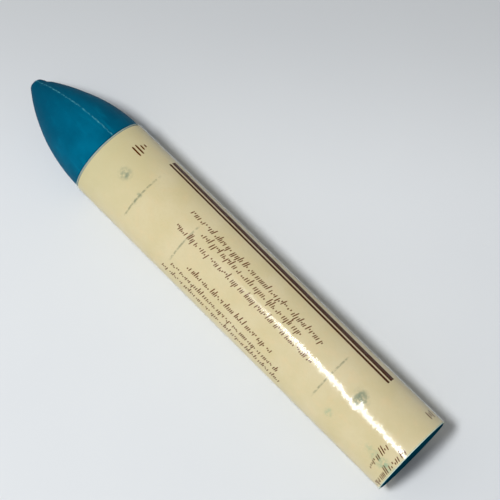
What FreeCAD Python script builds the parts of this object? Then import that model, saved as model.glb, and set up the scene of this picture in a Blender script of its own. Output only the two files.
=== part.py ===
import FreeCAD, Part
import math
import os

import Sketcher

# An artist's pastel stick in a rolled label, lying on its side.
#
# Frame: X runs along the stick, from the nose (-X) to the flat butt (+X), and Z is up. The origin is
# on the surface that the stick lies on, below the middle of its length. Each sub-part is drawn in a
# frame of its own with X on the stick's axis and x = 0 at its own front end, and its Placement puts
# it in the assembly. Angles about the axis run from +Y towards +Z. Lengths are in millimetres.

DRIVING_SIZES = [
    # The cast stick
    ("stick_length", 128.8, "tip of the nose to the flat butt"),
    ("stick_radius", 10.40, "straight body"),
    ("nose_length", 26.8, "pointed part in front of the straight body"),
    ("ogive_radius", 44.0, "arc of the nose's side"),
    ("tip_radius", 2.20, "ball at the tip"),
    ("butt_round", 0.40, "edge of the flat butt"),
    ("flash_height", 0.10, "ridge that the mould's joint leaves on the nose"),
    ("flash_width", 0.30, "the same ridge, across"),
    ("flash_turn", -14.0, "the mould's joint, turned about the axis, in degrees"),
    # The paper label
    ("label_setback", 0.40, "butt face to the label's rear edge"),
    ("label_length", 101.0, "along the stick"),
    ("label_clearance", 0.06, "stick to label, on the radius"),
    ("paper_thickness", 0.14, "one layer of paper"),
    ("label_glue", 0.04, "glue between the two layers of the lap"),
    ("label_lap", 42.0, "angle of the lap, in degrees"),
    ("label_turn", 198.0, "where the ramp of its lap starts, in degrees"),
    # The clear sleeve over the label
    ("sleeve_setback", 0.15, "butt face to the sleeve's rear edge"),
    ("sleeve_length", 101.55, "along the stick"),
    ("sleeve_clearance", 0.04, "label's lap to the sleeve, on the radius"),
    ("film_thickness", 0.06, "one layer of film"),
    ("sleeve_glue", 0.03, "glue between the two layers of the lap"),
    ("sleeve_lap", 30.0, "angle of the lap, in degrees"),
    # Both rolled sheets
    ("lap_ramp", 16.0, "angle over which a sheet climbs onto its own end, in degrees"),
    ("glue_inset", 1.5, "glue line to the edges of the lap, in degrees"),
    ("glue_margin", 1.0, "glue line to the ends of the sheet"),
]

LABEL_INNER = "(Sizes.stick_radius + Sizes.label_clearance)"
SLEEVE_INNER = (
    f"({LABEL_INNER} + 2 * Sizes.paper_thickness + Sizes.label_glue + Sizes.sleeve_clearance)"
)

# The stick lies on the flat ramp of the sleeve's lap, which keeps it from rolling. The ramp runs from
# the sleeve's plain outer radius to the lap's, so the axis is as high as that line is far from it.
SLEEVE_OUTER = f"({SLEEVE_INNER} + Sizes.film_thickness)"
SLEEVE_LAP_OUTER = f"({SLEEVE_OUTER} + Sizes.film_thickness + Sizes.sleeve_glue)"
RAMP = "(Sizes.lap_ramp * 1 deg)"
RAMP_WIDTH = (
    f"sqrt({SLEEVE_OUTER}^2 + {SLEEVE_LAP_OUTER}^2"
    f" - 2 * {SLEEVE_OUTER} * {SLEEVE_LAP_OUTER} * cos({RAMP}))"
)
AXIS_HEIGHT = f"({SLEEVE_OUTER} * {SLEEVE_LAP_OUTER} * sin({RAMP}) / {RAMP_WIDTH})"

STICK_TURN = "Sizes.flash_turn * 1 deg"
LABEL_TURN = "Sizes.label_turn * 1 deg"
SLEEVE_TURN = f"270 deg - acos({AXIS_HEIGHT} / {SLEEVE_OUTER})"

# A sketch names its own things by number: the two axes, and the ends and centre of an element.
X_AXIS = -1
START = 1
END = 2
CENTRE = 3

doc = FreeCAD.newDocument("pastel_stick")


def fill_sheet():
    """Put the driving sizes in a spreadsheet, one row each, with the name as the cell's alias."""
    sheet = doc.addObject("Spreadsheet::Sheet", "Sizes")
    for row, (name, value, meaning) in enumerate(DRIVING_SIZES, start=1):
        sheet.set(f"A{row}", name)
        sheet.set(f"B{row}", str(value))
        sheet.set(f"C{row}", meaning)
        sheet.setAlias(f"B{row}", name)
    doc.recompute()
    return sheet


sizes = fill_sheet()


def value_of(expression):
    """Work out an expression over the sheet, for the first drawing of a sketch."""
    return float(sizes.evalExpression(expression.replace("Sizes.", "")))


# ------------------------------------------------------------------------------ sketch helpers
def new_body(label):
    body = doc.addObject("PartDesign::Body", label)
    body.Label = label
    return body


def new_sketch(body, name, plane_role):
    """Make an empty sketch on one of the body's own origin planes."""
    sketch = body.newObject("Sketcher::SketchObject", name)
    plane = next(f for f in body.Origin.OriginFeatures if f.Role == plane_role)
    sketch.AttachmentSupport = [(plane, "")]
    sketch.MapMode = "FlatFace"
    return sketch


def point(x, y):
    return FreeCAD.Vector(x, y, 0)


def polar(radius, degrees, centre=(0.0, 0.0)):
    angle = math.radians(degrees)
    return point(centre[0] + radius * math.cos(angle), centre[1] + radius * math.sin(angle))


def line(sketch, start, end, construction=False):
    return sketch.addGeometry(Part.LineSegment(start, end), construction)


def arc(sketch, centre, radius, from_degrees, to_degrees):
    """Draw an arc that runs counter-clockwise from its START to its END."""
    circle = Part.Circle(centre, FreeCAD.Vector(0, 0, 1), radius)
    return sketch.addGeometry(
        Part.ArcOfCircle(circle, math.radians(from_degrees), math.radians(to_degrees))
    )


def bind(sketch, kind, elements, expression):
    """Add a dimension and bind it to the sheet."""
    index = sketch.addConstraint(
        Sketcher.Constraint(kind, *elements, value_in_sketch(kind, expression))
    )
    sketch.setExpression(f"Constraints[{index}]", expression)


def value_in_sketch(kind, expression):
    value = value_of(expression)
    return math.radians(value) if kind == "Angle" else value


def join(sketch, first, first_end, second, second_end):
    sketch.addConstraint(Sketcher.Constraint("Coincident", first, first_end, second, second_end))


def join_smoothly(sketch, first, first_end, second, second_end):
    sketch.addConstraint(Sketcher.Constraint("Tangent", first, first_end, second, second_end))


def put_on(sketch, element, element_end, line_under_it):
    sketch.addConstraint(
        Sketcher.Constraint("PointOnObject", element, element_end, line_under_it)
    )


def put_at_origin(sketch, element, element_end):
    join(sketch, element, element_end, X_AXIS, START)


def place(body, front_expression, turn_expression):
    """Put a body's own front end at its place on the assembly's axis, turned about it."""
    body.Placement = FreeCAD.Placement(
        FreeCAD.Vector(), FreeCAD.Rotation(FreeCAD.Vector(1, 0, 0), 1.0)
    )
    body.setExpression("Placement.Base.x", front_expression)
    body.setExpression("Placement.Base.z", AXIS_HEIGHT)
    body.setExpression("Placement.Rotation.Angle", turn_expression)


def pad(body, sketch, name, length_expression):
    feature = body.newObject("PartDesign::Pad", name)
    feature.Profile = sketch
    feature.setExpression("Length", length_expression)
    return feature


# ------------------------------------------------------------------------------ the cast stick
def nose_centre(base, tip_centre, side_radius, tip_radius):
    """Find the centre of the side arc that passes the nose's base and meets the tip's ball."""
    reach = side_radius - tip_radius
    across = (tip_centre[0] - base[0], tip_centre[1] - base[1])
    span = math.hypot(*across)
    along = (side_radius**2 - reach**2 + span**2) / (2 * span)
    aside = math.sqrt(side_radius**2 - along**2)
    unit = (across[0] / span, across[1] / span)
    return (
        base[0] + along * unit[0] - aside * unit[1],
        base[1] + along * unit[1] + aside * unit[0],
    )


def bearing(centre, target):
    """Give the direction from one point to another, in degrees from +X."""
    return math.degrees(math.atan2(target[1] - centre[1], target[0] - centre[0]))


def draw_nose_side(sketch, growth):
    """Draw the nose's side arc and tip ball above the axis, all of it `growth` further out."""
    base_height = f"Sizes.stick_radius + {growth}"
    side = f"Sizes.ogive_radius + {growth}"
    tip = f"Sizes.tip_radius + {growth}"
    base = (value_of("Sizes.nose_length"), value_of(base_height))
    ball = (value_of("Sizes.tip_radius"), 0.0)
    centre = nose_centre(base, ball, value_of(side), value_of(tip))
    meeting = bearing(centre, ball)
    side_arc = arc(
        sketch, point(*centre), value_of(side), bearing(centre, base), meeting
    )
    tip_arc = arc(sketch, point(*ball), value_of(tip), meeting, 180.0)
    join_smoothly(sketch, side_arc, END, tip_arc, START)
    put_on(sketch, tip_arc, CENTRE, X_AXIS)
    put_on(sketch, tip_arc, END, X_AXIS)
    bind(sketch, "DistanceX", [X_AXIS, START, tip_arc, CENTRE], "Sizes.tip_radius")
    bind(sketch, "Radius", [side_arc], side)
    bind(sketch, "Radius", [tip_arc], tip)
    bind(sketch, "DistanceX", [X_AXIS, START, side_arc, START], "Sizes.nose_length")
    bind(sketch, "DistanceY", [X_AXIS, START, side_arc, START], base_height)
    return side_arc, tip_arc


def make_stick():
    """Cast stick: a turned body with a pointed nose, and the mould's ridge along the nose."""
    body = new_body("pastel_stick")
    sketch = new_sketch(body, "stick_half_section", "XZ_Plane")
    length = value_of("Sizes.stick_length")
    radius = value_of("Sizes.stick_radius")
    edge = value_of("Sizes.butt_round")
    side_arc, tip_arc = draw_nose_side(sketch, "0")
    axis = line(sketch, point(0, 0), point(length, 0))
    butt = line(sketch, point(length, 0), point(length, radius - edge))
    edge_arc = arc(sketch, point(length - edge, radius - edge), edge, 0.0, 90.0)
    straight = line(
        sketch, point(length - edge, radius), point(value_of("Sizes.nose_length"), radius)
    )
    join(sketch, tip_arc, END, axis, START)
    join(sketch, axis, END, butt, START)
    join_smoothly(sketch, butt, END, edge_arc, START)
    join_smoothly(sketch, edge_arc, END, straight, START)
    join(sketch, straight, END, side_arc, START)
    sketch.addConstraint(Sketcher.Constraint("Vertical", butt))
    sketch.addConstraint(Sketcher.Constraint("Horizontal", straight))
    bind(sketch, "DistanceX", [axis, START, axis, END], "Sizes.stick_length")
    bind(sketch, "Radius", [edge_arc], "Sizes.butt_round")
    put_on(sketch, axis, END, X_AXIS)
    turned = body.newObject("PartDesign::Revolution", "turned_body")
    turned.Profile = sketch
    turned.ReferenceAxis = (sketch, ["H_Axis"])
    turned.Angle = 360.0
    doc.recompute()
    plain_volume = turned.Shape.Volume

    add_flash(body)
    place(body, "-Sizes.stick_length / 2", STICK_TURN)
    doc.recompute()
    if body.Shape.Volume <= plain_volume:
        raise RuntimeError("the mould's ridge adds nothing to the nose")
    return body


def add_flash(body):
    """Mould ridge: a thin plate in the mould's joint plane, a little larger than the nose."""
    sketch = new_sketch(body, "flash_outline", "XZ_Plane")
    upper_side, upper_tip = draw_nose_side(sketch, "Sizes.flash_height")
    base = line(
        sketch,
        point(value_of("Sizes.nose_length"), 0.0),
        point(
            value_of("Sizes.nose_length"),
            value_of("Sizes.stick_radius + Sizes.flash_height"),
        ),
    )
    axis = line(
        sketch,
        point(-value_of("Sizes.flash_height"), 0.0),
        point(value_of("Sizes.nose_length"), 0.0),
    )
    join(sketch, upper_tip, END, axis, START)
    join(sketch, axis, END, base, START)
    join(sketch, base, END, upper_side, START)
    put_on(sketch, base, START, X_AXIS)
    sketch.addConstraint(Sketcher.Constraint("Vertical", base))
    plate = pad(body, sketch, "flash_plate", "Sizes.flash_width")
    plate.SideType = "Symmetric"
    doc.recompute()
    both = body.newObject("PartDesign::Mirrored", "flash_both_sides")
    both.Originals = [plate]
    both.MirrorPlane = (sketch, ["H_Axis"])
    body.Tip = both
    doc.recompute()


# ------------------------------------------------------------------------------ rolled sheets
def make_rolled_sheet(label, inner, thickness, glue, kind, turn):
    """Sheet rolled once round, whose outer end climbs a ramp and laps over its inner end."""
    body = new_body(label)
    sketch = new_sketch(body, f"{kind}_section", "YZ_Plane")
    wall = f"Sizes.{thickness}"
    radii = {
        "inner": inner,
        "outer": f"{inner} + {wall}",
        "lap_inner": f"{inner} + {wall} + Sizes.{glue}",
        "lap_outer": f"{inner} + 2 * {wall} + Sizes.{glue}",
    }
    ramp_angle = value_of("Sizes.lap_ramp")
    lap_end_angle = value_of(f"Sizes.lap_ramp + Sizes.{kind}_lap")
    spans = {
        "inner": (ramp_angle, 360.0),
        "outer": (ramp_angle, 360.0),
        "lap_inner": (ramp_angle, lap_end_angle),
        "lap_outer": (ramp_angle, lap_end_angle),
    }
    arcs = {}
    for name, (from_degrees, to_degrees) in spans.items():
        radius = value_of(radii[name])
        arcs[name] = arc(sketch, point(0, 0), radius, from_degrees, to_degrees)
        put_at_origin(sketch, arcs[name], CENTRE)
        bind(sketch, "Radius", [arcs[name]], radii[name])

    # Spokes that carry the two angles: where the lap begins and where the outer end stops
    reach = value_of(radii["lap_outer"])
    begin_spoke = line(sketch, point(0, 0), polar(reach, ramp_angle), construction=True)
    finish_spoke = line(sketch, point(0, 0), polar(reach, lap_end_angle), construction=True)
    for spoke in (begin_spoke, finish_spoke):
        put_at_origin(sketch, spoke, START)
    join(sketch, begin_spoke, END, arcs["lap_outer"], START)
    join(sketch, finish_spoke, END, arcs["lap_outer"], END)
    for name in ("inner", "outer", "lap_inner"):
        put_on(sketch, arcs[name], START, begin_spoke)
    for name in ("inner", "outer"):
        put_on(sketch, arcs[name], END, X_AXIS)
    put_on(sketch, arcs["lap_inner"], END, finish_spoke)
    bind(sketch, "Angle", [begin_spoke], "Sizes.lap_ramp * 1 deg")
    bind(sketch, "Angle", [finish_spoke], f"(Sizes.lap_ramp + Sizes.{kind}_lap) * 1 deg")

    # Straight edges: the ramp's two faces and the sheet's two cut ends
    for first, second in (
        (("inner", END), ("lap_inner", START)),
        (("lap_outer", START), ("outer", END)),
        (("lap_inner", END), ("lap_outer", END)),
        (("outer", START), ("inner", START)),
    ):
        ends = [
            polar(value_of(radii[name]), spans[name][0 if which == START else 1])
            for name, which in (first, second)
        ]
        edge = line(sketch, *ends)
        join(sketch, edge, START, arcs[first[0]], first[1])
        join(sketch, edge, END, arcs[second[0]], second[1])

    pad(body, sketch, f"{kind}_pad", f"Sizes.{kind}_length")
    front = f"Sizes.stick_length / 2 - Sizes.{kind}_setback - Sizes.{kind}_length"
    place(body, front, turn)
    doc.recompute()
    return body


def make_glue_strip(label, inner, thickness, glue, kind, turn):
    """Glue strip between the two layers of a rolled sheet's lap."""
    body = new_body(label)
    sketch = new_sketch(body, f"{kind}_glue_section", "YZ_Plane")
    radii = {
        "inner": f"{inner} + Sizes.{thickness}",
        "outer": f"{inner} + Sizes.{thickness} + Sizes.{glue}",
    }
    begin = "Sizes.lap_ramp + Sizes.glue_inset"
    finish = f"Sizes.lap_ramp + Sizes.{kind}_lap - Sizes.glue_inset"
    arcs = {}
    for name, radius in radii.items():
        arcs[name] = arc(
            sketch, point(0, 0), value_of(radius), value_of(begin), value_of(finish)
        )
        put_at_origin(sketch, arcs[name], CENTRE)
        bind(sketch, "Radius", [arcs[name]], radius)
    for element_end, angle in ((START, begin), (END, finish)):
        inner_point = polar(value_of(radii["inner"]), value_of(angle))
        outer_point = polar(value_of(radii["outer"]), value_of(angle))
        spoke = line(sketch, point(0, 0), inner_point, construction=True)
        edge = line(sketch, inner_point, outer_point)
        put_at_origin(sketch, spoke, START)
        join(sketch, spoke, END, arcs["inner"], element_end)
        join(sketch, edge, START, arcs["inner"], element_end)
        join(sketch, edge, END, arcs["outer"], element_end)
        put_on(sketch, arcs["outer"], element_end, spoke)
        bind(sketch, "Angle", [spoke], f"({angle}) * 1 deg")
    pad(body, sketch, f"{kind}_glue_pad", f"Sizes.{kind}_length - 2 * Sizes.glue_margin")
    front = (
        f"Sizes.stick_length / 2 - Sizes.{kind}_setback - Sizes.{kind}_length + Sizes.glue_margin"
    )
    place(body, front, turn)
    doc.recompute()
    return body


# ------------------------------------------------------------------------------ check and write
def check_document():
    """Stop at any object that failed to compute, and at any sketch that isn't fully fixed."""
    for item in doc.Objects:
        if "Invalid" in item.State or "Error" in item.State:
            raise RuntimeError(f"{item.Name} failed: {item.State}")
        if item.TypeId == "Sketcher::SketchObject" and not item.FullyConstrained:
            raise RuntimeError(f"{item.Name} is not fully constrained")


def write_parts(bodies):
    os.makedirs("parts", exist_ok=True)
    for body in bodies:
        shape = body.Shape
        if shape.isNull() or not shape.isValid() or len(shape.Solids) != 1:
            raise RuntimeError(f"{body.Label} is not one valid solid")
        shape.exportStep(f"parts/{body.Label}.step")
        box = shape.BoundBox
        print(
            f"{body.Label:18s} volume {shape.Volume:10.2f} mm3"
            f"  x {box.XMin:8.2f} {box.XMax:8.2f}"
            f"  y {box.YMin:7.2f} {box.YMax:7.2f}"
            f"  z {box.ZMin:6.2f} {box.ZMax:6.2f}"
        )


label_sheet = (LABEL_INNER, "paper_thickness", "label_glue", "label", LABEL_TURN)
sleeve_sheet = (SLEEVE_INNER, "film_thickness", "sleeve_glue", "sleeve", SLEEVE_TURN)
bodies = [
    make_stick(),
    make_rolled_sheet("paper_label", *label_sheet),
    make_glue_strip("label_glue_strip", *label_sheet),
    make_rolled_sheet("clear_sleeve", *sleeve_sheet),
    make_glue_strip("sleeve_glue_strip", *sleeve_sheet),
]
doc.recompute()
check_document()
write_parts(bodies)
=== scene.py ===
import math
import random

import bpy
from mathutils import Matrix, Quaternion, Vector, noise


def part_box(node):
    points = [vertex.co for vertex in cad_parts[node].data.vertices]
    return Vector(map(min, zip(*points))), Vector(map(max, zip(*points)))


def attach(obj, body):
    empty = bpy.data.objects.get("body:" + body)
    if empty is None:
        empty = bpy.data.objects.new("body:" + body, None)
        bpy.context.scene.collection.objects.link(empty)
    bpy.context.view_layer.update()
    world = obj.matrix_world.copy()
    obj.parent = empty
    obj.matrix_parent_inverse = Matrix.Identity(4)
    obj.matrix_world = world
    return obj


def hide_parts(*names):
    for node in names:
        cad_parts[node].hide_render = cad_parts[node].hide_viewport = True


# An artist's pastel stick in a rolled paper label under a clear film sleeve, lying on its side.
# Lengths in this script are millimetres and become metres when a mesh is made. X runs from the nose
# to the butt. A turn is the angle about the stick's axis, in degrees from +Z towards -Y.

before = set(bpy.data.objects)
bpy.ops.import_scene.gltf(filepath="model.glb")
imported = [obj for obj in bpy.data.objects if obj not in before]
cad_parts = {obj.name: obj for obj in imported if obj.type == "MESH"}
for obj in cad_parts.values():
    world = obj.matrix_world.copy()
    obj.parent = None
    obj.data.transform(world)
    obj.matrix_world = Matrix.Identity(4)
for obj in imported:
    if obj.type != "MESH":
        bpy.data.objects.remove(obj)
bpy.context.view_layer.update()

MM = 0.001  # metres in a millimetre


def box_mm(node):
    low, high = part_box(node)
    return Vector(low) / MM, Vector(high) / MM


stick_low, stick_high = box_mm("pastel_stick")
label_low, label_high = box_mm("paper_label")
sleeve_low, sleeve_high = box_mm("clear_sleeve")

STICK_RADIUS = 10.40  # its straight body
LABEL_RADIUS = (label_high.y - label_low.y) / 2
SLEEVE_RADIUS = (sleeve_high.y - sleeve_low.y) / 2
AXIS_HEIGHT = sleeve_high.z - SLEEVE_RADIUS
TIP_X = stick_low.x
BUTT_X = stick_high.x

PAPER = 0.14  # thickness of the label
FILM = 0.06  # thickness of the sleeve
RAMP = 16.0  # degrees over which a rolled sheet climbs onto its own inner end


# ------------------------------------------------------------------------------ mesh helpers
def on_axis(x, radius, turn):
    """Give the place at a distance from the stick's axis, in millimetres."""
    angle = math.radians(turn)
    return Vector((x, -radius * math.sin(angle), AXIS_HEIGHT + radius * math.cos(angle)))


def make_object(name, points, faces, material, crease=35.0):
    """Make a mesh object from points in millimetres, smooth apart from its sharp edges."""
    mesh = bpy.data.meshes.new(name)
    mesh.from_pydata([p * MM for p in points], [], faces)
    mesh.polygons.foreach_set("use_smooth", [True] * len(mesh.polygons))
    mesh.set_sharp_from_angle(angle=math.radians(crease))
    mesh.materials.append(material)
    mesh.update()
    piece = bpy.data.objects.new(name, mesh)
    bpy.context.scene.collection.objects.link(piece)
    return piece


def grid_faces(rows, columns, first=0, wrap=False, flip=False):
    """List the quads of a grid of points stored row by row."""
    faces = []
    for i in range(rows - 1):
        for j in range(columns if wrap else columns - 1):
            k = (j + 1) % columns
            quad = (
                first + i * columns + j,
                first + i * columns + k,
                first + (i + 1) * columns + k,
                first + (i + 1) * columns + j,
            )
            faces.append(quad[::-1] if flip else quad)
    return faces


def spread(start, end, count):
    return [start + (end - start) * i / (count - 1) for i in range(count)]


def smooth_step(low, high, value):
    t = min(max((value - low) / (high - low), 0.0), 1.0)
    return t * t * (3 - 2 * t)


def bell(offset, width):
    """1 in the middle, falling smoothly to about a third at the width and on to 0."""
    return math.exp(-((offset / width) ** 2))


def ripple(x, turn, radius, size, seed):
    """Give smooth noise between -1 and 1 over a surface round the axis."""
    angle = math.radians(turn)
    place = Vector((x, radius * math.sin(angle), radius * math.cos(angle))) / size
    return noise.noise(place + Vector((seed, seed * 1.7, -seed)))


# ------------------------------------------------------------------------------ node helpers
def new_material(name):
    material = bpy.data.materials.new(name)
    material.use_nodes = True
    material.node_tree.nodes.clear()
    return material, Nodes(material.node_tree)


def srgb(red, green, blue):
    """Turn a colour as a screen shows it, 0 to 255, into the linear one that shaders take."""
    def linear(c):
        c /= 255
        return c / 12.92 if c <= 0.04045 else ((c + 0.055) / 1.055) ** 2.4
    return (linear(red), linear(green), linear(blue), 1.0)


class Nodes:
    """Short ways to add and join shader nodes."""

    def __init__(self, tree):
        self.tree = tree
        self.place = None

    def add(self, kind, **settings):
        node = self.tree.nodes.new(kind)
        for name, value in settings.items():
            setattr(node, name, value)
        return node

    def join(self, source, target):
        self.tree.links.new(source, target)

    def put(self, socket, value):
        """Set a socket to a number or colour, or join it to another node's output."""
        if isinstance(value, bpy.types.NodeSocket):
            self.join(value, socket)
        else:
            socket.default_value = value

    def position(self):
        """The piece's own coordinates, in millimetres."""
        if self.place is None:
            coordinates = self.add("ShaderNodeTexCoord")
            scale = self.add("ShaderNodeVectorMath", operation="SCALE")
            scale.inputs["Scale"].default_value = 1 / MM
            self.join(coordinates.outputs["Object"], scale.inputs[0])
            self.place = scale.outputs[0]
        return self.place

    def math(self, operation, a, b=0.0, c=0.0):
        node = self.add("ShaderNodeMath", operation=operation)
        for socket, value in zip(node.inputs, (a, b, c)):
            self.put(socket, value)
        return node.outputs[0]

    def noise(self, size, detail=3.0, roughness=0.5, stretch=(1, 1, 1), distortion=0.0, seed=0.0):
        """Noise from 0 to 1, with features about `size` millimetres across."""
        mapping = self.add("ShaderNodeMapping")
        self.join(self.position(), mapping.inputs["Vector"])
        mapping.inputs["Location"].default_value = (seed, seed * 1.3, -seed)
        mapping.inputs["Scale"].default_value = stretch
        texture = self.add("ShaderNodeTexNoise")
        self.join(mapping.outputs[0], texture.inputs["Vector"])
        texture.inputs["Scale"].default_value = 1 / size
        texture.inputs["Detail"].default_value = detail
        texture.inputs["Roughness"].default_value = roughness
        texture.inputs["Distortion"].default_value = distortion
        return texture.outputs["Fac"]

    def ramp(self, value, low, high):
        """Map a value from low..high smoothly to 0..1."""
        node = self.add("ShaderNodeMapRange", interpolation_type="SMOOTHSTEP")
        self.put(node.inputs["Value"], value)
        node.inputs["From Min"].default_value = low
        node.inputs["From Max"].default_value = high
        return node.outputs["Result"]

    def mix(self, factor, a, b, blend="MIX"):
        node = self.add("ShaderNodeMix", data_type="RGBA", blend_type=blend)
        self.put(node.inputs["Factor"], factor)
        self.put(node.inputs["A"], a)
        self.put(node.inputs["B"], b)
        return node.outputs["Result"]

    def spot(self, centre, size, softness):
        """A blotch round a point: 1 inside, fading to 0 at its edge."""
        away = self.add("ShaderNodeVectorMath", operation="DISTANCE")
        self.join(self.position(), away.inputs[0])
        away.inputs[1].default_value = centre
        return self.ramp(away.outputs["Value"], size, size * (1 - softness))

    def axis(self, name):
        split = self.add("ShaderNodeSeparateXYZ")
        self.join(self.position(), split.inputs[0])
        return split.outputs[name]

    def along(self, direction, origin=(0.0, 0.0, 0.0)):
        """Distance from a place, in millimetres, measured along a direction of unit length."""
        away = self.add("ShaderNodeVectorMath", operation="SUBTRACT")
        self.join(self.position(), away.inputs[0])
        away.inputs[1].default_value = origin
        dot = self.add("ShaderNodeVectorMath", operation="DOT_PRODUCT")
        self.join(away.outputs[0], dot.inputs[0])
        dot.inputs[1].default_value = direction
        return dot.outputs["Value"]

    def leaned(self, normal, amount):
        """Lean a normal to one side round the axis, by an amount in radians."""
        round_axis = self.add("ShaderNodeVectorMath", operation="CROSS_PRODUCT")
        self.join(normal, round_axis.inputs[0])
        round_axis.inputs[1].default_value = (1.0, 0.0, 0.0)
        lean = self.add("ShaderNodeVectorMath", operation="SCALE")
        self.join(round_axis.outputs[0], lean.inputs[0])
        self.join(amount, lean.inputs["Scale"])
        total = self.add("ShaderNodeVectorMath", operation="ADD")
        self.join(normal, total.inputs[0])
        self.join(lean.outputs[0], total.inputs[1])
        unit = self.add("ShaderNodeVectorMath", operation="NORMALIZE")
        self.join(total.outputs[0], unit.inputs[0])
        return unit.outputs[0]

    def bump(self, heights):
        """Chain bumps, each (height, strength, distance in millimetres)."""
        normal = None
        for height, strength, distance in heights:
            node = self.add("ShaderNodeBump")
            node.inputs["Strength"].default_value = strength
            node.inputs["Distance"].default_value = distance * MM
            self.join(height, node.inputs["Height"])
            if normal is not None:
                self.join(normal, node.inputs["Normal"])
            normal = node.outputs[0]
        return normal

    def principled(self, **sockets):
        node = self.add("ShaderNodeBsdfPrincipled")
        for name, value in sockets.items():
            self.put(node.inputs[name.replace("_", " ")], value)
        return node

    def finish(self, shader):
        output = self.add("ShaderNodeOutputMaterial")
        self.join(shader, output.inputs["Surface"])


# ------------------------------------------------------------------------------ materials
PASTEL_DEEP = srgb(0, 83, 112)
PASTEL_PLAIN = srgb(0, 100, 131)
PASTEL_STREAK = srgb(0, 108, 138)
PASTEL_SCUFF = srgb(30, 122, 148)
PASTEL_TIP_SHADE = srgb(0, 76, 103)
PASTEL_CREST_HIGHLIGHT_AND_WEAR = srgb(84, 166, 178)
PASTEL_EDGE_SHADE = srgb(8, 44, 56)
PASTEL_GLINT = (0.1, 0.75, 1.0, 1.0)


def pastel_material(name, specular, painted_shade_factor, crest_highlight_and_wear):
    """Waxy cast colour: deep teal, a little uneven, with scuffs and a fine grain; its ridge crest is
    lighter, partly rubbed wax and partly a painted highlight, and painted shade darkens the tip and a
    line at the wrapper's edge.

    `painted_shade_factor` darkens the whole colour as painted shade, and `crest_highlight_and_wear`
    is how much of the ridge's lighter crest shows.
    """
    material, n = new_material(name)
    cloud = n.noise(7.0, detail=4.0, seed=3.0)
    streak = n.noise(1.6, detail=3.0, stretch=(0.25, 1, 1), seed=8.0)
    grain = n.noise(0.22, detail=2.0, roughness=0.7, seed=1.0)
    scuff = n.ramp(n.noise(2.4, detail=6.0, roughness=0.75, distortion=1.5, seed=21.0), 0.62, 0.74)
    base = n.mix(n.ramp(cloud, 0.3, 0.7), PASTEL_DEEP, PASTEL_PLAIN)
    base = n.mix(n.ramp(streak, 0.5, 0.8), base, PASTEL_STREAK)
    base = n.mix(n.math("MULTIPLY", scuff, 0.35), base, PASTEL_SCUFF)
    # Painted shading: the nose darkens towards its tip, so the wax nearer the label looks more lit.
    base = n.mix(n.ramp(n.axis("X"), label_low.x - 2.0, TIP_X), base, PASTEL_TIP_SHADE)
    # Painted highlight and wear: the ridge's crest drawn lighter in broken flecks.
    base = n.mix(n.math("MULTIPLY", ridge_crest_wear_and_highlight(n), crest_highlight_and_wear), base, PASTEL_CREST_HIGHLIGHT_AND_WEAR)
    # Painted shadow: a dark line where the label's front edge shades the colour.
    base = n.mix(wrapper_edge_shade(n), base, PASTEL_EDGE_SHADE)
    # Painted shade: the whole colour multiplied down by a factor, for a face in shade.
    base = n.mix(1.0, base, (painted_shade_factor, painted_shade_factor, painted_shade_factor, 1.0), blend="MULTIPLY")
    rough = n.math("MULTIPLY_ADD", cloud, 0.22, 0.46)
    rough = n.math("MULTIPLY_ADD", scuff, 0.15, rough)
    normal = n.bump(
        [(cloud, 0.25, 0.25), (streak, 0.25, 0.06), (grain, 0.35, 0.02), (scuff, -0.3, 0.02)]
    )
    shader = n.principled(Base_Color=base, Roughness=rough, Normal=normal)
    shader.inputs["Specular IOR Level"].default_value = specular
    shader.inputs["Specular Tint"].default_value = PASTEL_GLINT
    n.finish(shader.outputs[0])
    return material


def wrapper_edge_shade(n):
    """Mask of a painted shadow: a dark line round the colour just in front of the wrapper's front
    edge.
    """
    wander = n.math("MULTIPLY_ADD", n.noise(1.5, seed=23.0), 0.2, -0.1)
    along = n.math("ADD", n.axis("X"), wander)
    edge = n.math("SUBTRACT", along, label_low.x - 0.5)
    return n.math("MULTIPLY", n.ramp(n.math("ABSOLUTE", edge), 0.3, 0.1), 0.7)


def ridge_crest_wear_and_highlight(n):
    """Mask of the lighter crest of the mould's ridge, in broken flecks along the nose: partly rubbed
    wax, partly a painted highlight.
    """
    turn = math.radians(FLASH_TURN)
    across = n.along((0.0, math.cos(turn), math.sin(turn)), origin=(0.0, 0.0, AXIS_HEIGHT))
    wander = n.math("MULTIPLY_ADD", n.noise(1.1, seed=17.0), 0.5, -0.25)
    offset = n.math("ADD", across, wander)
    line = n.ramp(n.math("ABSOLUTE", offset), 0.30, 0.05)
    flecks = n.ramp(n.noise(0.9, detail=3.0, roughness=0.7, seed=31.0), 0.36, 0.66)
    return n.math("MULTIPLY", n.math("MULTIPLY", line, flecks), 0.7)


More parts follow.
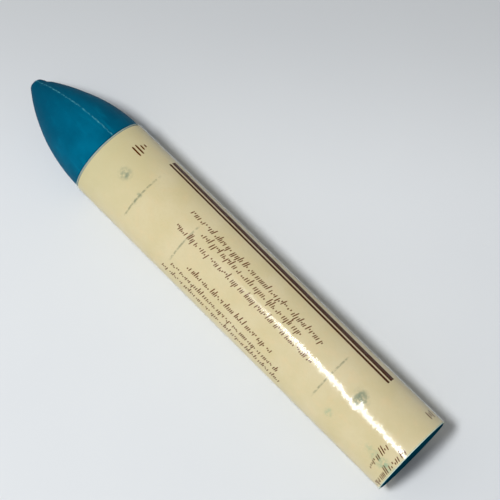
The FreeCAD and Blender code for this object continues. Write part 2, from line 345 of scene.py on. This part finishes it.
PAPER_WARM = srgb(212, 200, 158)
PAPER_PALE = srgb(219, 208, 173)
PAPER_MOTTLE = srgb(226, 204, 162)
PAPER_FIBRE = srgb(206, 190, 140)
PAPER_OILED = srgb(200, 193, 150)
CREASE_GREY = srgb(118, 124, 98)
GREY_GREEN = srgb(124, 140, 118)
SEA_GREEN = srgb(126, 172, 146)
OILED_X = -40.0
OILED_TURN = 25.0
OILED_REACH = 25.0
PAPER_STAINS = [
    # x, turn, size, strength, colour: oil and colour that came through from the stick
    (-28.5, 11.0, 2.3, 0.60, GREY_GREEN),
    (-28.2, 13.0, 1.2, 0.55, GREY_GREEN),
    (46.8, 0.5, 2.0, 0.6, GREY_GREEN),
    (48.0, 3.5, 2.5, 0.7, GREY_GREEN),
    (47.6, 10.0, 2.2, 0.6, GREY_GREEN),
    (44.4, 47.0, 1.6, 0.45, SEA_GREEN),
    (56.5, 42.0, 1.5, 0.30, SEA_GREEN),
    (58.7, 44.0, 1.9, 0.45, SEA_GREEN),
    (61.0, 44.5, 2.2, 0.65, SEA_GREEN),
    (63.2, 43.5, 2.0, 0.75, SEA_GREEN),
    (63.6, 58.0, 1.4, 0.35, SEA_GREEN),
    (-22.4, 18.0, 1.0, 0.60, GREY_GREEN),
    (-22.3, 28.0, 1.0, 0.50, GREY_GREEN),
]
CREASES = [
    # x, turn at its middle, half of the turn that it spans
    (-22.3, 17.5, 40.0),
    (-7.0, 23.0, 33.0),
    (39.0, 11.0, 38.0),
]


def stained(n, base):
    """Add the oily front, the stains and the faint dotted creases to the paper's colour."""
    oily = n.spot(on_axis(OILED_X, LABEL_RADIUS, OILED_TURN), OILED_REACH, softness=1.0)
    base = n.mix(n.math("MULTIPLY", oily, 0.75), base, PAPER_OILED)
    blot = n.noise(0.9, detail=4.0, roughness=0.65, seed=5.0)
    for x, turn, size, strength, colour in PAPER_STAINS:
        mask = n.spot(on_axis(x, LABEL_RADIUS, turn), size, softness=0.8)
        mask = n.math("MULTIPLY", mask, n.ramp(blot, 0.34, 0.62))
        base = n.mix(n.math("MULTIPLY", mask, strength), base, colour)
    dots = n.ramp(n.noise(0.8, detail=2.0, seed=12.0), 0.30, 0.62)
    for x, turn, half_span in CREASES:
        line = n.ramp(n.math("ABSOLUTE", n.math("SUBTRACT", n.axis("X"), x)), 0.34, 0.10)
        reach = 2 * LABEL_RADIUS * math.sin(math.radians(half_span / 2))
        near = n.spot(on_axis(x, LABEL_RADIUS, turn), reach, softness=0.3)
        line = n.math("MULTIPLY", n.math("MULTIPLY", line, near), dots)
        base = n.mix(n.math("MULTIPLY", line, 0.62), base, CREASE_GREY)
    return base


def paper_material():
    """Uncoated cream paper: cloudy tone, fibres, oil stains and faint creases."""
    material, n = new_material("cream_paper")
    cloud = n.noise(9.0, detail=3.0, seed=2.0)
    mottle = n.noise(2.2, detail=3.0, seed=7.0)
    fibre = n.noise(0.35, detail=4.0, roughness=0.7, stretch=(0.5, 1, 1), seed=9.0)
    base = n.mix(n.ramp(cloud, 0.25, 0.75), PAPER_WARM, PAPER_PALE)
    base = n.mix(n.math("MULTIPLY", n.ramp(mottle, 0.45, 0.8), 0.35), base, PAPER_MOTTLE)
    base = n.mix(n.math("MULTIPLY", n.ramp(fibre, 0.35, 0.8), 0.25), base, PAPER_FIBRE)
    base = stained(n, base)
    rough = n.math("MULTIPLY_ADD", fibre, 0.2, 0.62)
    normal = n.bump([(mottle, 0.15, 0.03), (fibre, 0.35, 0.02)])
    shader = n.principled(Base_Color=base, Roughness=rough, Normal=normal)
    shader.inputs["Specular IOR Level"].default_value = 0.3
    shader.inputs["Diffuse Roughness"].default_value = 0.35
    n.finish(shader.outputs[0])
    return material


RULE_INK = (srgb(74, 28, 0), srgb(88, 42, 0))
TEXT_INK = (srgb(88, 38, 0), srgb(110, 58, 0))


def ink_material(name, dark, light):
    """Printing ink: its coverage varies a little over the paper's fibres."""
    material, n = new_material(name)
    cover = n.noise(0.5, detail=4.0, roughness=0.7, seed=14.0)
    base = n.mix(n.ramp(cover, 0.35, 0.75), dark, light)
    rough = n.math("MULTIPLY_ADD", cover, 0.25, 0.45)
    shader = n.principled(Base_Color=base, Roughness=rough)
    shader.inputs["Specular IOR Level"].default_value = 0.1
    n.finish(shader.outputs[0])
    return material


FILM_TINT = (0.985, 0.985, 0.975, 1.0)
FILM_MIRROR = 0.018
FILM_MIRROR_EDGE_ON = 0.8
FILM_LEAN = 0.1
FILM_EDGE_HAZE_GLINT = srgb(232, 246, 226)
FILM_EDGE_GLINT_FRONT = 0.45
FILM_EDGE_GLINT_REAR = 0.75


def film_material():
    """Clear glossy film: mirror-like by angle, finely rippled, and pale where it passes the label's
    ends, partly a milky edge and partly a painted reflection of the cut edge.
    """
    material, n = new_material("clear_film")
    wrinkle = n.noise(5.0, detail=2.0, stretch=(0.6, 1, 1), seed=4.0)
    fine = n.noise(0.8, detail=2.0, stretch=(1, 0.7, 0.7), seed=11.0)
    ridges = n.noise(0.45, detail=2.0, roughness=0.7, stretch=(1, 0.25, 0.25), seed=14.0)
    normal = n.bump([(wrinkle, 0.4, 0.05), (fine, 1.0, 0.012)])
    normal = n.leaned(normal, n.math("MULTIPLY_ADD", ridges, 2 * FILM_LEAN, -FILM_LEAN))
    weight = n.add("ShaderNodeLayerWeight")
    weight.inputs["Blend"].default_value = 0.5
    n.join(normal, weight.inputs["Normal"])
    grazing = n.math("POWER", weight.outputs["Facing"], 6.0)
    mirror = n.math("MULTIPLY_ADD", grazing, FILM_MIRROR_EDGE_ON, FILM_MIRROR)
    clear = n.add("ShaderNodeBsdfTransparent")
    clear.inputs["Color"].default_value = FILM_TINT
    gloss = n.add("ShaderNodeBsdfGlossy")
    gloss.inputs["Color"].default_value = (1.0, 1.0, 1.0, 1.0)
    n.join(n.math("MULTIPLY_ADD", fine, 0.12, 0.08), gloss.inputs["Roughness"])
    n.join(normal, gloss.inputs["Normal"])
    film = n.add("ShaderNodeMixShader")
    n.join(mirror, film.inputs[0])
    n.join(clear.outputs[0], film.inputs[1])
    n.join(gloss.outputs[0], film.inputs[2])
    # Pale band at each end: partly milky film, partly a painted reflection of the film's bright cut
    # edge.
    edge_haze_glint = n.add("ShaderNodeBsdfDiffuse")
    edge_haze_glint.inputs["Color"].default_value = FILM_EDGE_HAZE_GLINT
    front = n.ramp(n.axis("X"), label_low.x + 0.05, label_low.x - 0.1)
    rear = n.ramp(n.axis("X"), label_high.x - 0.02, label_high.x + 0.1)
    rear = n.math("MULTIPLY", rear, FILM_EDGE_GLINT_REAR)
    ends = n.math("MULTIPLY_ADD", front, FILM_EDGE_GLINT_FRONT, rear)
    edged = n.add("ShaderNodeMixShader")
    n.join(ends, edged.inputs[0])
    n.join(film.outputs[0], edged.inputs[1])
    n.join(edge_haze_glint.outputs[0], edged.inputs[2])
    n.finish(edged.outputs[0])
    return material


GLUE_DARK = srgb(190, 172, 120)
GLUE_LIGHT = srgb(206, 190, 142)


def glue_material():
    """Dried glue: yellowish, glossy, a little lumpy."""
    material, n = new_material("dried_glue")
    lumps = n.noise(1.2, detail=3.0, seed=6.0)
    base = n.mix(n.ramp(lumps, 0.3, 0.7), GLUE_DARK, GLUE_LIGHT)
    rough = n.math("MULTIPLY_ADD", lumps, 0.2, 0.25)
    normal = n.bump([(lumps, 0.4, 0.02)])
    n.finish(n.principled(Base_Color=base, Roughness=rough, Normal=normal).outputs[0])
    return material


FLOOR_PLAIN = srgb(218, 222, 226)
FLOOR_PALE = srgb(222, 226, 229)
FLOOR_SHADE = (0.0, 0.0, 0.0, 1.0)
FLOOR_SHADE_WAY = (-0.70, 0.71, 0.0)
FLOOR_SHADE_START = 16.0
FLOOR_SHADE_END = 80.0
FLOOR_SHADE_DEPTH = 0.22


def floor_material():
    """Pale matte card, a little darker away from the light, on the nose's +Y side."""
    material, n = new_material("pale_card")
    cloud = n.noise(40.0, detail=2.0, seed=2.0)
    fibre = n.noise(0.8, detail=3.0, seed=9.0)
    base = n.mix(cloud, FLOOR_PLAIN, FLOOR_PALE)
    away = n.ramp(n.along(FLOOR_SHADE_WAY), FLOOR_SHADE_START, FLOOR_SHADE_END)
    base = n.mix(n.math("MULTIPLY", away, FLOOR_SHADE_DEPTH), base, FLOOR_SHADE)
    normal = n.bump([(fibre, 0.1, 0.03)])
    n.finish(n.principled(Base_Color=base, Roughness=0.85, Normal=normal).outputs[0])
    return material


# ------------------------------------------------------------------------------ the cast stick
NOSE_LENGTH = 26.8
OGIVE_RADIUS = 44.0  # arc of the nose's side
TIP_BALL = 2.2  # radius of the ball at the tip
TIP_BLUNT = 0.22  # how far the very tip is pressed in
NECK_DEPTH = 0.22  # a shallow waist behind the tip, on one side
NECK_PLACE = 2.6
NECK_WIDTH = 0.75
NECK_TURN = -95.0
WORN_DEPTH = 0.35  # the side that is worn flat
WORN_PLACE = 9.0
WORN_LENGTH = 7.0
WORN_TURN = -80.0
RIDGE_ON_NOSE = 0.10  # height of the mould's ridge
RIDGE_BEHIND = 0.02
RIDGE_WIDTH = 0.13
FLASH_TURN = -14.0  # the mould's joint; its other line is half a turn away
FLASH_OFFSETS = (-0.55, -0.3, -0.19, -0.12, -0.06, 0.0, 0.06, 0.12, 0.19, 0.3, 0.55)
BUTT_ROUND = 0.4
BUTT_DISH = 0.28
BUTT_RINGS = (9.6, 9.0, 8.0, 6.5, 5.0, 3.5, 2.0, 0.8)


def nose_centre():
    """Find the centre of the side arc, which passes the nose's base and meets the tip's ball."""
    base = Vector((NOSE_LENGTH, STICK_RADIUS))
    ball = Vector((TIP_BALL, 0.0))
    reach = OGIVE_RADIUS - TIP_BALL
    across = ball - base
    along = (OGIVE_RADIUS**2 - reach**2 + across.length_squared) / (2 * across.length)
    aside = math.sqrt(OGIVE_RADIUS**2 - along**2)
    unit = across.normalized()
    return base + along * unit + aside * Vector((-unit.y, unit.x))


def nose_profile():
    """List (distance from the tip, radius) down the nose, evenly along its outline."""
    centre = nose_centre()
    ball = Vector((TIP_BALL, 0.0))
    meeting = math.atan2(ball.y - centre.y, ball.x - centre.x)
    base = math.atan2(STICK_RADIUS - centre.y, NOSE_LENGTH - centre.x)
    profile = [
        (ball.x + TIP_BALL * math.cos(a), TIP_BALL * math.sin(a))
        for a in spread(math.pi * 0.985, meeting, 12)
    ]
    profile += [
        (centre.x + OGIVE_RADIUS * math.cos(a), centre.y + OGIVE_RADIUS * math.sin(a))
        for a in spread(meeting, base, 110)[1:]
    ]
    return profile


def stick_columns(radius):
    """Turns of the columns of points: close together over the mould's two ridges."""
    scale = math.degrees(1 / max(radius, 0.9))
    turns = []
    for ridge in (FLASH_TURN, FLASH_TURN + 180.0):
        near = [ridge + offset * scale for offset in FLASH_OFFSETS]
        turns += near
        start = near[-1]
        end = ridge + 180.0 + FLASH_OFFSETS[0] * scale
        turns += spread(start, end, 100)[1:-1]
    return turns


def ridge_height(along, offset, side):
    """Height of the mould's ridge at a place beside its line: full on the nose, faint behind."""
    broken = 0.75 + 0.5 * noise.noise(Vector((along / 1.7, side * 9.0, 0.3)))
    faint = smooth_step(NOSE_LENGTH - 0.8, NOSE_LENGTH, along)
    full = RIDGE_ON_NOSE + (RIDGE_BEHIND - RIDGE_ON_NOSE) * faint
    return min(full * broken, full) * bell(offset, RIDGE_WIDTH)


def rubbed_side(turn):
    """1 in the middle of the side that is worn flat, on +Y, fading to 0 round the stick."""
    return max(math.cos(math.radians(turn - WORN_TURN)), 0.0) ** 2


def stick_radius_at(along, radius, turn):
    """Add the marks of casting to the turned shape."""
    total = radius
    fade = smooth_step(0.3, 3.0, along)
    lumps = ripple(along, turn, radius, 6.0, 4.0) * 0.05
    lumps += ripple(along, turn, radius, 2.2, 9.0) * 0.015
    total += fade * (lumps - 0.045)
    neck_side = 0.5 + 0.5 * math.cos(math.radians(turn - NECK_TURN))
    total -= NECK_DEPTH * bell(along - NECK_PLACE, NECK_WIDTH) * neck_side
    total -= WORN_DEPTH * bell(along - WORN_PLACE, WORN_LENGTH) * rubbed_side(turn)
    for side, ridge in enumerate((FLASH_TURN, FLASH_TURN + 180.0)):
        around = (turn - ridge + 180.0) % 360.0 - 180.0
        total += ridge_height(along, math.radians(around) * radius, side)
    return total


def side_points():
    """Rows of points from the tip to the butt's rounded edge."""
    rear = BUTT_X - TIP_X - BUTT_ROUND
    profile = nose_profile()
    profile += [(along, STICK_RADIUS) for along in spread(NOSE_LENGTH, rear, 90)[1:]]
    for a in spread(0.0, math.pi / 2, 6)[1:]:
        radius = STICK_RADIUS - BUTT_ROUND + BUTT_ROUND * math.cos(a)
        profile.append((rear + BUTT_ROUND * math.sin(a), radius))
    points = []
    for along, radius in profile:
        x = TIP_X + along + TIP_BLUNT * bell(along, 0.5)
        for turn in stick_columns(radius):
            points.append(on_axis(x, stick_radius_at(along, radius, turn), turn))
    return points


def butt_points():
    """Rings of points in the butt's shallow dish, where the colour sank a little as it set."""
    points = []
    for radius in BUTT_RINGS:
        sunk = BUTT_DISH * smooth_step(9.8, 3.0, radius)
        for turn in stick_columns(radius):
            dent = 0.03 * ripple(7.0, turn, radius, 2.5, 5.0)
            points.append(on_axis(BUTT_X - sunk - abs(dent), radius, turn))
    return points


def stick_faces(rows, columns):
    """Quads of the whole stick, and a fan round the point at each end."""
    faces = grid_faces(rows, columns, wrap=True)
    tip = rows * columns
    butt = tip + 1
    last = (rows - 1) * columns
    for j in range(columns):
        k = (j + 1) % columns
        faces.append((tip, k, j))
        faces.append((butt, last + j, last + k))
    return faces


def make_stick():
    """Cast stick, from the tip's centre round to the middle of the butt."""
    points = side_points() + butt_points()
    columns = len(stick_columns(1.0))
    faces = stick_faces(len(points) // columns, columns)
    points.append(on_axis(TIP_X + TIP_BLUNT, 0.0, 0.0))
    points.append(on_axis(BUTT_X - BUTT_DISH, 0.0, 0.0))
    waxy = pastel_material("waxy_pastel", specular=0.04, painted_shade_factor=1.0, crest_highlight_and_wear=1.0)
    piece = make_object("cast_stick", points, faces, waxy, crease=50.0)
    # A darker copy with no gloss for the butt's face: the darkening is painted shade, as that face is
    # turned away from the light.
    dull_shaded_butt = pastel_material("dull_shaded_pastel", specular=0.0, painted_shade_factor=0.45, crest_highlight_and_wear=0.0)
    piece.data.materials.append(dull_shaded_butt)
    for face in piece.data.polygons:
        if face.center.x > (BUTT_X - 0.35) * MM and face.normal.x > 0.8:
            face.material_index = 1
    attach(piece, "stick")
    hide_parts("pastel_stick")


# ------------------------------------------------------------------------------ rolled sheets
class RolledSheet:
    """A sheet rolled once round the stick, whose outer end climbs a ramp over its inner end."""

    def __init__(self, inner, wall, glue, lap, start, dent):
        self.inner = inner
        self.wall = wall
        self.raised = inner + wall + glue
        self.start = start
        self.end = start + 360.0 + RAMP + lap
        self.dent = dent

    def radius(self, turn):
        """Inner radius at a turn along the sheet, from its inner end at start + RAMP."""
        past = turn - self.start - 360.0
        if past <= 0:
            return self.inner
        if past >= RAMP:
            return self.raised
        low, high = self.inner, self.raised
        ahead = math.sin(math.radians(past))
        behind = math.sin(math.radians(RAMP - past))
        return low * high * math.sin(math.radians(RAMP)) / (low * ahead + high * behind)

    def turns(self, step):
        """Turns of the columns: round to the ramp, up it, and on over the lap."""
        begin = self.start + RAMP
        foot = self.start + 360.0
        top = foot + RAMP
        turns = spread(begin, foot, int((foot - begin) / step) + 1)
        turns += spread(foot, top, 9)[1:]
        turns += spread(top, self.end, int((self.end - turns[-1]) / step) + 2)[1:]
        return turns

    def layer(self, stations, turns, height):
        """Points of the sheet at a height above its inner face, one row for each station."""
        points = []
        for x in stations:
            for turn in turns:
                points.append(on_axis(x, self.radius(turn) + height + self.dent(x, turn), turn))
        return points

    def build_skin(self, name, low_x, high_x, step, x_step, material):
        """Make a film too thin for its edges to show: one surface, at the middle of its wall."""
        turns = self.turns(step)
        stations = spread(low_x, high_x, int((high_x - low_x) / x_step) + 1)
        points = self.layer(stations, turns, self.wall / 2)
        return make_object(name, points, grid_faces(len(stations), len(turns)), material)

    def build(self, name, low_x, high_x, step, x_step, material):
        """Make the closed sheet: its outer face, inner face and four cut edges."""
        turns = self.turns(step)
        stations = spread(low_x, high_x, int((high_x - low_x) / x_step) + 1)
        points = self.layer(stations, turns, self.wall) + self.layer(stations, turns, 0.0)
        rows, columns = len(stations), len(turns)
        under = rows * columns
        faces = grid_faces(rows, columns)
        faces += grid_faces(rows, columns, first=under, flip=True)
        for i in range(rows - 1):
            a, b = i * columns, (i + 1) * columns
            faces.append((a, b, under + b, under + a))
            a, b = a + columns - 1, b + columns - 1
            faces.append((b, a, under + a, under + b))
        for j in range(columns - 1):
            a = (rows - 1) * columns + j
            faces.append((j + 1, j, under + j, under + j + 1))
            faces.append((a, a + 1, under + a + 1, under + a))
        return make_object(name, points, faces, material)


LABEL_LAP = 42.0
LABEL_START = 108.0
LABEL_GLUE = 0.04
LABEL_UNEVEN = 0.02
CREASE_DEPTH = 0.012
CREASE_WIDTH = 0.25

SLEEVE_LAP = 30.0
SLEEVE_START = 180.0 - math.degrees(math.acos(AXIS_HEIGHT / SLEEVE_RADIUS))
SLEEVE_GLUE = 0.03
SLEEVE_SLACK = 0.03
BUBBLE_X = 48.0  # where the film is pressed in, over the rear blot
BUBBLE_TURN = 12.0
BUBBLE_DEPTH = 0.05


def label_dent(x, turn):
    """Small unevenness of the paper, always inwards, with a shallow dent along each crease."""
    total = LABEL_UNEVEN * (ripple(x, turn, LABEL_RADIUS, 7.0, 2.0) - 1.0)
    for crease, _, _ in CREASES:
        total -= CREASE_DEPTH * bell(x - crease, CREASE_WIDTH)
    return total


def sleeve_slack(turn):
    """How free the film is: 0 where its two layers are stuck together, 1 away from there."""
    middle = SLEEVE_START + 0.5 * (RAMP + SLEEVE_LAP)
    away = abs((turn - middle + 180.0) % 360.0 - 180.0)
    return smooth_step(30.0, 50.0, away)


def sleeve_dent(x, turn):
    """Slack of the film: gentle waves, and a bubble pressed in over the rear blot."""
    waves = ripple(x, turn, SLEEVE_RADIUS, 9.0, 6.0) - 1.0
    total = SLEEVE_SLACK * sleeve_slack(turn) * waves
    wave = bell(x - BUBBLE_X + 0.5, 3.4) * ripple(x, turn, SLEEVE_RADIUS, 2.6, 13.0)
    total += BUBBLE_DEPTH * (wave - 0.6 * abs(wave))
    total -= BUBBLE_DEPTH * bell(x - BUBBLE_X, 1.8) * bell(turn % 360.0 - BUBBLE_TURN, 9.0)
    return min(total, 0.0)


label_sheet = RolledSheet(
    inner=LABEL_RADIUS - PAPER,
    wall=PAPER,
    glue=LABEL_GLUE,
    lap=LABEL_LAP,
    start=LABEL_START,
    dent=label_dent,
)
sleeve_sheet = RolledSheet(
    inner=SLEEVE_RADIUS - FILM,
    wall=FILM,
    glue=SLEEVE_GLUE,
    lap=SLEEVE_LAP,
    start=SLEEVE_START,
    dent=sleeve_dent,
)


def make_label():
    paper = paper_material()
    piece = label_sheet.build(
        "printed_label", label_low.x, label_high.x, step=2.0, x_step=1.0, material=paper
    )
    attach(piece, "label")
    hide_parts("paper_label")


def make_sleeve():
    film = film_material()
    piece = sleeve_sheet.build_skin(
        "film_sleeve", sleeve_low.x, sleeve_high.x, step=2.0, x_step=0.7, material=film
    )
    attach(piece, "sleeve")
    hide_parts("clear_sleeve")


# ------------------------------------------------------------------------------ the print
PRINT_LIFT = 0.02  # ink above the paper's face
PRINT_SINK = 0.02  # ink below it
PRINT_MIDDLE = 12.0
PRINT_SKEW = 0.094  # degrees of turn for each millimetre from the middle
TEXT_SLANT = 0.28
TEXT_WEIGHT = 0.27
TEXT_MIDDLE = 11.45
TEXT_SEED = 40
TEXT_LINES = [
    # length, turn at the middle of the line, height of its bars
    (44.4, -9.6, 1.05),
    (32.9, 2.2, 1.05),
    (45.0, 16.8, 1.05),
    (27.6, 45.4, 1.0),
    (35.2, 60.6, 1.0),
    (39.2, 74.3, 1.0),
]
RULE_FRONT = -23.7
RULE_REAR = 49.4
RULES = [
    # turn, width: a thick and a thin line above the text, and the same again on the far side
    (-53.2, 1.75),
    (-43.2, 0.74),
    (-176.0, 0.74),
    (-186.0, 1.75),
]


class Print:
    """Ink shapes laid on the label. A place on it is (x, turn); strokes are in millimetres."""

    def __init__(self):
        self.points = []
        self.faces = []

    def on_paper(self, x, turn, lift):
        """The paper's outer face, with the whole print turned a little askew."""
        turn += PRINT_SKEW * (x - PRINT_MIDDLE)
        along = label_sheet.start + RAMP + (turn - label_sheet.start - RAMP) % 360.0
        if along + 360.0 <= label_sheet.end:
            along += 360.0
        radius = label_sheet.radius(along) + PAPER + label_dent(x, along)
        return on_axis(x, radius + lift, turn)

    def sheet(self, rows):
        """Add a closed sheet of ink from a grid of (x, turn)."""
        columns = len(rows[0])
        first = len(self.points)
        for lift in (PRINT_LIFT, -PRINT_SINK):
            for row in rows:
                self.points += [self.on_paper(x, turn, lift) for x, turn in row]
        count = len(rows)
        under = first + count * columns
        self.faces += grid_faces(count, columns, first=first)
        self.faces += grid_faces(count, columns, first=under, flip=True)
        for i in range(count - 1):
            a, b = first + i * columns, first + (i + 1) * columns
            c, d = a + columns - 1, b + columns - 1
            self.faces.append((a, b, b + under - first, a + under - first))
            self.faces.append((d, c, c + under - first, d + under - first))
        for j in range(columns - 1):
            a = first + (count - 1) * columns + j
            self.faces.append((first + j + 1, first + j, under + j, under + j + 1))
            self.faces.append((a, a + 1, a + 1 + under - first, a + under - first))

    def rule(self, low_x, high_x, turn, width):
        """A straight rule along the stick."""
        half = math.degrees(width / 2 / LABEL_RADIUS)
        across = spread(turn - half, turn + half, max(2, int(width / 0.4) + 1))
        self.sheet([[(x, t) for t in across] for x in spread(low_x, high_x, 48)])

    def stroke(self, place, path, width, upright):
        """A pen stroke. The path is in the letter frame: right and up, in millimetres."""
        rows = []
        steps = []
        for (a, b), (c, d) in zip(path, path[1:]):
            count = max(1, round(math.hypot(c - a, d - b) / 0.5))
            steps += [(a + (c - a) * k / count, b + (d - b) * k / count) for k in range(count)]
        steps.append(path[-1])
        for i, (right, up) in enumerate(steps):
            before = steps[max(i - 1, 0)]
            after = steps[min(i + 1, len(steps) - 1)]
            run = Vector((after[0] - before[0], after[1] - before[1])).normalized()
            half = width / 2 * (0.7 if i in (0, len(steps) - 1) else 1.0)
            row = []
            for side in (half, -half):
                row.append(self.letter_place(place, right - run.y * side, up + run.x * side, upright))
            rows.append(row)
        self.sheet(rows)

    def letter_place(self, place, right, up, upright):
        """From the letter frame to (x, turn): along the stick, or round it."""
        degrees = math.degrees(1 / LABEL_RADIUS)
        if upright:
            return place[0] + right, place[1] - up * degrees
        return place[0] - up, place[1] - right * degrees

    def bar(self, place, right, foot, top, weight, upright):
        """A leaning bar from one height above the line to another."""
        path = [(right + TEXT_SLANT * foot, foot), (right + TEXT_SLANT * top, top)]
        self.stroke(place, path, weight, upright)

    def greeked(self, place, length, height, weight, seed, upright=True):
        """A line of dummy text: words of leaning bars and short dabs, with no letters in it."""
        rng = random.Random(seed)
        cursor = 0.0
        while cursor < length - height:
            marks = rng.choice((2, 3, 4, 5, 6, 7, 8))
            for _ in range(marks):
                if cursor > length:
                    break
                kind = rng.random()
                if kind < 0.34:
                    level = rng.choice((0.1, 0.35, 0.6)) * height
                    self.bar(place, cursor, level, level + 0.4 * height, weight * 1.5, upright)
                else:
                    foot = -0.55 * height if kind > 0.92 else 0.0
                    top = 1.7 * height if 0.78 < kind <= 0.92 else height
                    self.bar(place, cursor, foot, top, weight, upright)
                cursor += height * rng.uniform(0.40, 0.62)
            cursor += height * rng.uniform(0.35, 0.5)

    def tally(self, centre, heights, pitch, weight):
        """A row of plain separate bars across the stick, from the front to the back."""
        start = -pitch * (len(heights) - 1) / 2
        for i, height in enumerate(heights):
            right = start + pitch * i
            self.stroke(centre, [(right, -height / 2), (right, height / 2)], weight, False)

    def frame(self, low_x, high_x, low_turn, high_turn, weight):
        """A blank panel: four thin lines round an empty space."""
        self.rule(low_x, high_x, low_turn, weight)
        self.rule(low_x, high_x, high_turn, weight)
        degrees = math.degrees(1 / LABEL_RADIUS)
        reach = (high_turn - low_turn) / degrees
        for x in (low_x, high_x):
            self.stroke((x, low_turn), [(-reach, 0.0), (0.0, 0.0)], weight, False)

    def make(self, name, material):
        piece = make_object(name, self.points, self.faces, material)
        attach(piece, "label")


def make_rules():
    """The straight rules along the label, and a blank panel on its far side."""
    rules = Print()
    for turn, width in RULES:
        rules.rule(RULE_FRONT, RULE_REAR, turn, width)
    rules.frame(low_x=-17.0, high_x=43.0, low_turn=-138.0, high_turn=-78.0, weight=0.45)
    rules.make("printed_rules", ink_material("brown_rule_ink", *RULE_INK))


def make_words():
    """The lines that stand in for the label's text. They say nothing."""
    words = Print()
    for seed, (length, turn, height) in enumerate(TEXT_LINES, start=TEXT_SEED):
        words.greeked((TEXT_MIDDLE - length / 2, turn), length, height, TEXT_WEIGHT, seed)

    # Small print at the rear, two lines round the stick, and bars at the front and at the rear
    words.greeked((50.2, 96.0), 6.4, 0.6, 0.16, seed=60)
    words.greeked((60.1, 59.5), 8.2, 1.2, 0.28, seed=61, upright=False)
    words.greeked((63.65, 82.0), 14.0, 1.2, 0.28, seed=62, upright=False)
    words.tally((-30.8, -25.0), heights=(3.0, 3.0, 1.5, 0.9), pitch=1.05, weight=0.45)
    words.tally((60.9, -59.0), heights=(2.2, 1.2, 2.2), pitch=0.95, weight=0.4)
    words.make("printed_lines", ink_material("brown_text_ink", *TEXT_INK))


# ------------------------------------------------------------------------------ stage
CAMERA_PLACE = (80.6, -68.14, 387.9)
CAMERA_TARGET = (3.15, 7.86, 10.81)
CAMERA_LENS = 118.8
CAMERA_SENSOR = 36.0
WORLD_WAY = (-0.55, -0.65, 0.56)
WORLD_LOBE = 0.30
WORLD_PLAIN = 0.215
FLOOR_HALF = 1500.0


def make_camera():
    data = bpy.data.cameras.new("camera")
    data.lens = CAMERA_LENS
    data.sensor_width = CAMERA_SENSOR
    camera = bpy.data.objects.new("camera", data)
    place = Vector(CAMERA_PLACE) * MM
    camera.location = place
    look = Vector(CAMERA_TARGET) * MM - place
    camera.rotation_euler = look.to_track_quat("-Z", "Y").to_euler()
    bpy.context.scene.collection.objects.link(camera)
    bpy.context.scene.camera = camera


def make_area_light(name, turn, distance, x, size_along, size_across, power, twist):
    """A rectangular light that faces the stick from a turn about its axis.

    Its long side lies along the stick, then it is twisted by some degrees about its own aim.
    """
    data = bpy.data.lights.new(name, "AREA")
    data.shape = "RECTANGLE"
    data.size = size_along * MM
    data.size_y = size_across * MM
    data.energy = power
    light = bpy.data.objects.new(name, data)
    place = on_axis(x, distance, turn)
    light.location = place * MM
    aim = on_axis(x, 0.0, 0.0) - place
    facing = aim.to_track_quat("-Z", "Y")
    facing.rotate(Quaternion(aim, math.radians(twist)))
    light.rotation_euler = facing.to_euler()
    bpy.context.scene.collection.objects.link(light)
    return light


def make_world():
    """A soft dome of light, brighter beyond the nose on the -Y side."""
    world = bpy.data.worlds.new("studio")
    bpy.context.scene.world = world
    world.use_nodes = True
    world.node_tree.nodes.clear()
    n = Nodes(world.node_tree)
    direction = n.add("ShaderNodeTexCoord").outputs["Generated"]
    dot = n.add("ShaderNodeVectorMath", operation="DOT_PRODUCT")
    n.join(direction, dot.inputs[0])
    dot.inputs[1].default_value = Vector(WORLD_WAY).normalized()
    lobe = n.math("POWER", n.math("MAXIMUM", dot.outputs["Value"], 0.0), 2.0)
    background = n.add("ShaderNodeBackground")
    background.inputs["Color"].default_value = (1.0, 1.0, 1.0, 1.0)
    strength = n.math("MULTIPLY_ADD", lobe, WORLD_LOBE, WORLD_PLAIN)
    n.join(strength, background.inputs["Strength"])
    output = n.add("ShaderNodeOutputWorld")
    n.join(background.outputs[0], output.inputs["Surface"])


def make_lights():
    """A key light for the shading and shadow, and a panel that only shows in reflections."""
    key = make_area_light(
        "key_light",
        turn=18.4,
        distance=600.0,
        x=-20.0,
        size_along=110.0,
        size_across=70.0,
        power=2.75,
        twist=54.0,
    )
    key.visible_glossy = False
    panel = make_area_light(
        "highlight_panel",
        turn=17.3,
        distance=600.0,
        x=-6.0,
        size_along=230.0,
        size_across=50.0,
        power=2.5,
        twist=60.0,
    )
    panel.visible_diffuse = False


def make_stage():
    corners = ((-1, -1), (1, -1), (1, 1), (-1, 1))
    points = [Vector((i * FLOOR_HALF, j * FLOOR_HALF, 0.0)) for i, j in corners]
    floor = make_object("floor", points, [(0, 1, 2, 3)], floor_material())
    make_world()
    make_lights()


make_camera()
make_stage()
bpy.context.scene.view_settings.view_transform = "Standard"

make_stick()
make_label()
make_sleeve()
make_rules()
make_words()
glue = glue_material()
for node in ("label_glue_strip", "sleeve_glue_strip"):
    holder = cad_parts[node]
    holder.data.materials.clear()
    holder.data.materials.append(glue)
